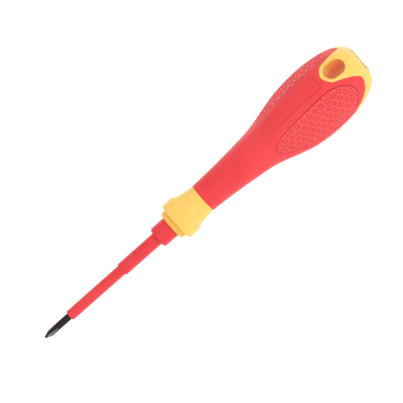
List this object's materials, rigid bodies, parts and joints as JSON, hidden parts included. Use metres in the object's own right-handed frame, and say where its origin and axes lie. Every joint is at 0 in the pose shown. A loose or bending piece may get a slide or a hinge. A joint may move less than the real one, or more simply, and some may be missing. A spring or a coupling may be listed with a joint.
{
  "type": "insulated screwdriver",
  "caption": "Insulated screwdriver with a plug-in cross-point blade, a push release collar and a three-sided soft-grip handle with textured pads and a hanging hole.",
  "frame": {"origin": "centre of the flat butt face of the handle, on the tool's axis", "axes": "+X along the tool from the butt to the blade's point, +Z towards the upper mouth of the hanging hole, with the tool lying on its lower face"},
  "size_m": [0.1685, 0.0294, 0.0286],
  "materials": {
    "hard_yellow": "satin hard plastic",
    "collar_yellow": "satin hard plastic",
    "soft_red": "matte soft grip with a fine grain",
    "pad_red": "matte soft pad with a honeycomb relief",
    "insulation_red": "satin moulded insulation",
    "blade_steel": "blackened tool steel with ground flutes",
    "inner_steel": "turned steel",
    "spring_steel": "drawn spring wire"
  },
  "bodies": {
    "handle": {"handle_core": "hard_yellow", "soft_grip": "soft_red", "grip_pad_right": "pad_red", "grip_pad_left": "pad_red", "grip_pad_lower": "pad_red", "nose_guard": "hard_yellow", "drive_socket": "inner_steel", "retaining_clip": "spring_steel", "collar_ring": "spring_steel", "spring_washer": "inner_steel", "collar_spring": "spring_steel"},
    "collar": {"release_collar": "collar_yellow"},
    "blade": {"blade_shank": "blade_steel", "shank_insulation": "insulation_red", "rear_sleeve": "insulation_red", "blade_plug": "insulation_red"}
  },
  "joints": [
    {"name": "collar_press", "type": "slide", "parent": "handle", "child": "collar", "axis": [-1, 0, 0], "range_m": [0, 0.0018], "stiffness_N_per_m": 300, "springref_m": -0.006, "deforming": ["collar_spring", "retaining_clip"]},
    {"name": "blade_pull", "type": "slide", "parent": "handle", "child": "blade", "axis": [1, 0, 0], "range_m": [0, 0.045], "deforming": ["retaining_clip"]}
  ]
}
